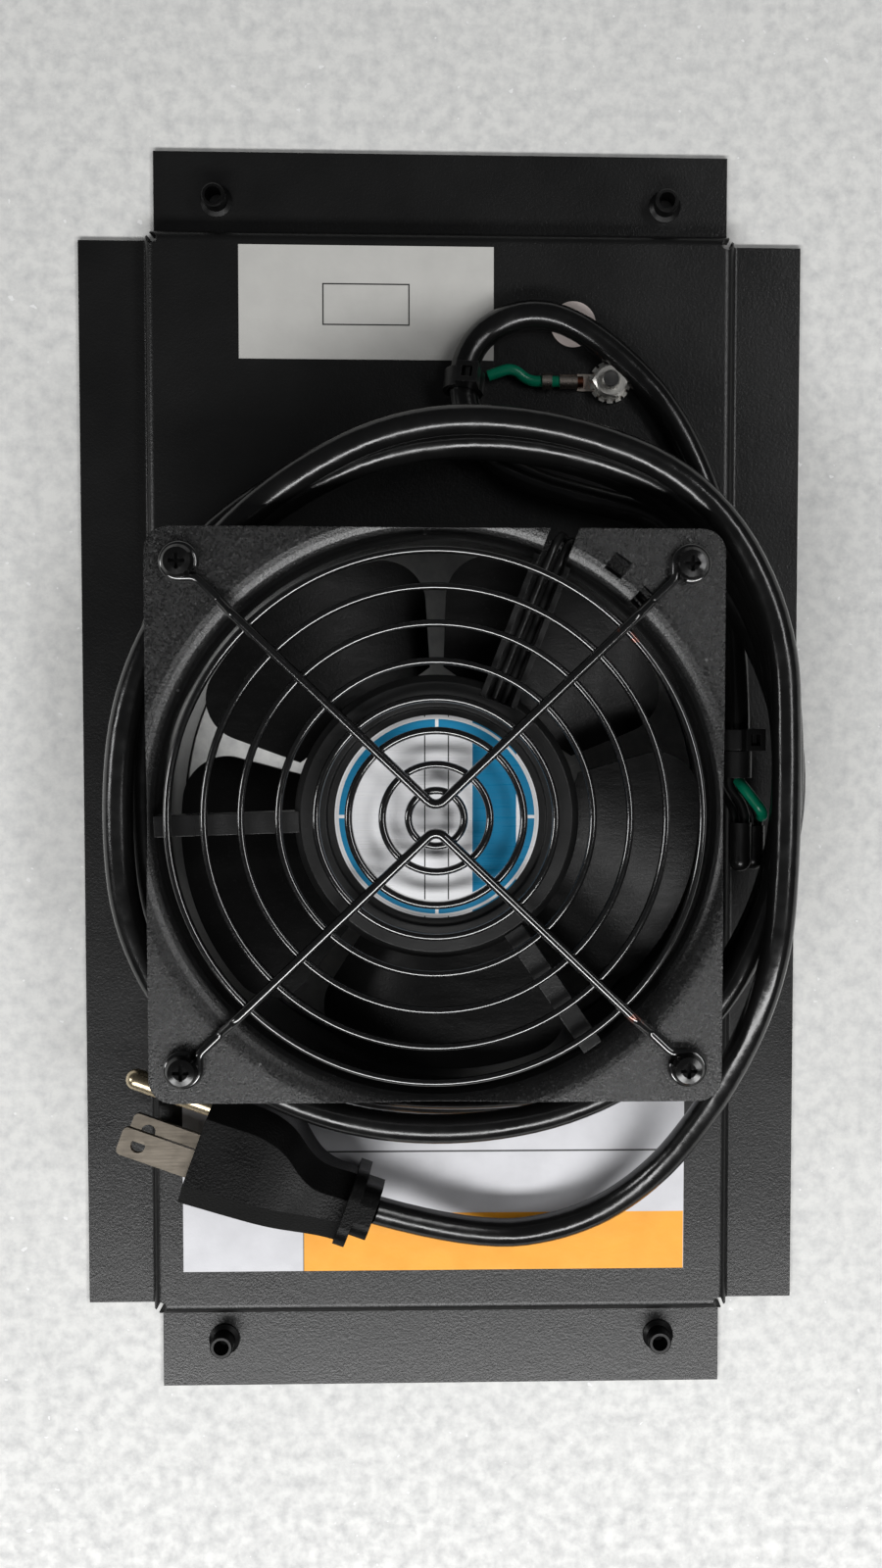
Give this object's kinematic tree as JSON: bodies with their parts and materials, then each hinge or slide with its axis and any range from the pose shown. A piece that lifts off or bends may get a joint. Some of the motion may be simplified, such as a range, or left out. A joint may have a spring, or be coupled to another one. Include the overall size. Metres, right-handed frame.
{
  "type": "rack fan tray",
  "caption": "Raised steel tray with threaded standoffs carrying a finger-guarded axial fan, its coiled power cord, crimped ground connection and three-pin plug.",
  "frame": {"origin": "middle of the tray, in the plane that the undersides of its four flanges share", "axes": "+X across the tray, +Y along the tray from the plug towards the ground stud, +Z out of the guarded face"},
  "size_m": [0.164, 0.284, 0.0511],
  "materials": {
    "powder_black": "fine-textured black powder coat",
    "standoff_black": "dark plated steel, worn bright at the rim",
    "fan_black": "die-cast frame in sparkling black paint",
    "guard_black": "gloss black coated wire",
    "screw_black": "black oxide steel",
    "bright_steel": "zinc-plated steel",
    "tinned": "tinned copper terminal",
    "bearing_steel": "ground bearing steel",
    "tube_brass": "turned brass",
    "laminations": "stacked electrical steel",
    "copper": "enamelled copper wire",
    "cup_steel": "blackened deep-drawn steel",
    "cage": "laminated ring with a cast aluminium cage",
    "impeller_black": "glass-filled black plastic",
    "silver_foil": "silver foil with a teal panel",
    "silver_label": "silver-white polyester label",
    "white_label": "white vinyl label",
    "orange_label": "orange printed band",
    "cord_black": "smooth black PVC",
    "wire_black": "black PVC insulation",
    "wire_green": "green PVC insulation",
    "nylon_black": "black nylon",
    "plug_black": "matt moulded PVC",
    "blade_nickel": "nickel-plated brass, slightly warm",
    "pin_brass": "nickel-plated brass"
  },
  "bodies": {
    "housing": {"tray": "powder_black", "standoffs": "standoff_black", "fan_frame": "fan_black", "bearing_tube": "tube_brass", "ball_bearings": "bearing_steel", "stator_core": "laminations", "stator_windings": "copper", "preload_spring": "bearing_steel", "guard_rings": "guard_black", "guard_rods": "guard_black", "guard_screws": "screw_black", "fan_mount_screws": "screw_black", "motor_label": "silver_foil", "ground_stud": "bright_steel", "ring_terminal": "tinned", "ground_washer": "bright_steel", "ground_nut": "bright_steel", "ground_wire": "wire_green", "rating_label": "silver_label", "panel_label": "white_label", "panel_label_band": "orange_label", "round_sticker": "white_label", "cord_coil": "cord_black", "power_cord": "cord_black", "cord_tail": "cord_black", "cable_tie_1": "nylon_black", "cable_tie_2": "nylon_black", "splice_sleeve": "nylon_black", "crimp_caps": "wire_black", "cord_conductors": "wire_black", "splice_ground_wire": "wire_green", "fan_leads": "wire_black", "plug_body": "plug_black", "plug_blades": "blade_nickel", "ground_pin": "pin_brass"},
    "rotor": {"impeller": "impeller_black", "rotor_cup": "cup_steel", "rotor_cage": "cage", "shaft": "bearing_steel", "retaining_ring": "bright_steel"}
  },
  "joints": [
    {"name": "fan_spin", "type": "hinge", "parent": "housing", "child": "rotor", "pos_m": [0, -0.0052, 0.025], "axis": [0, 0, 1], "continuous": true}
  ]
}
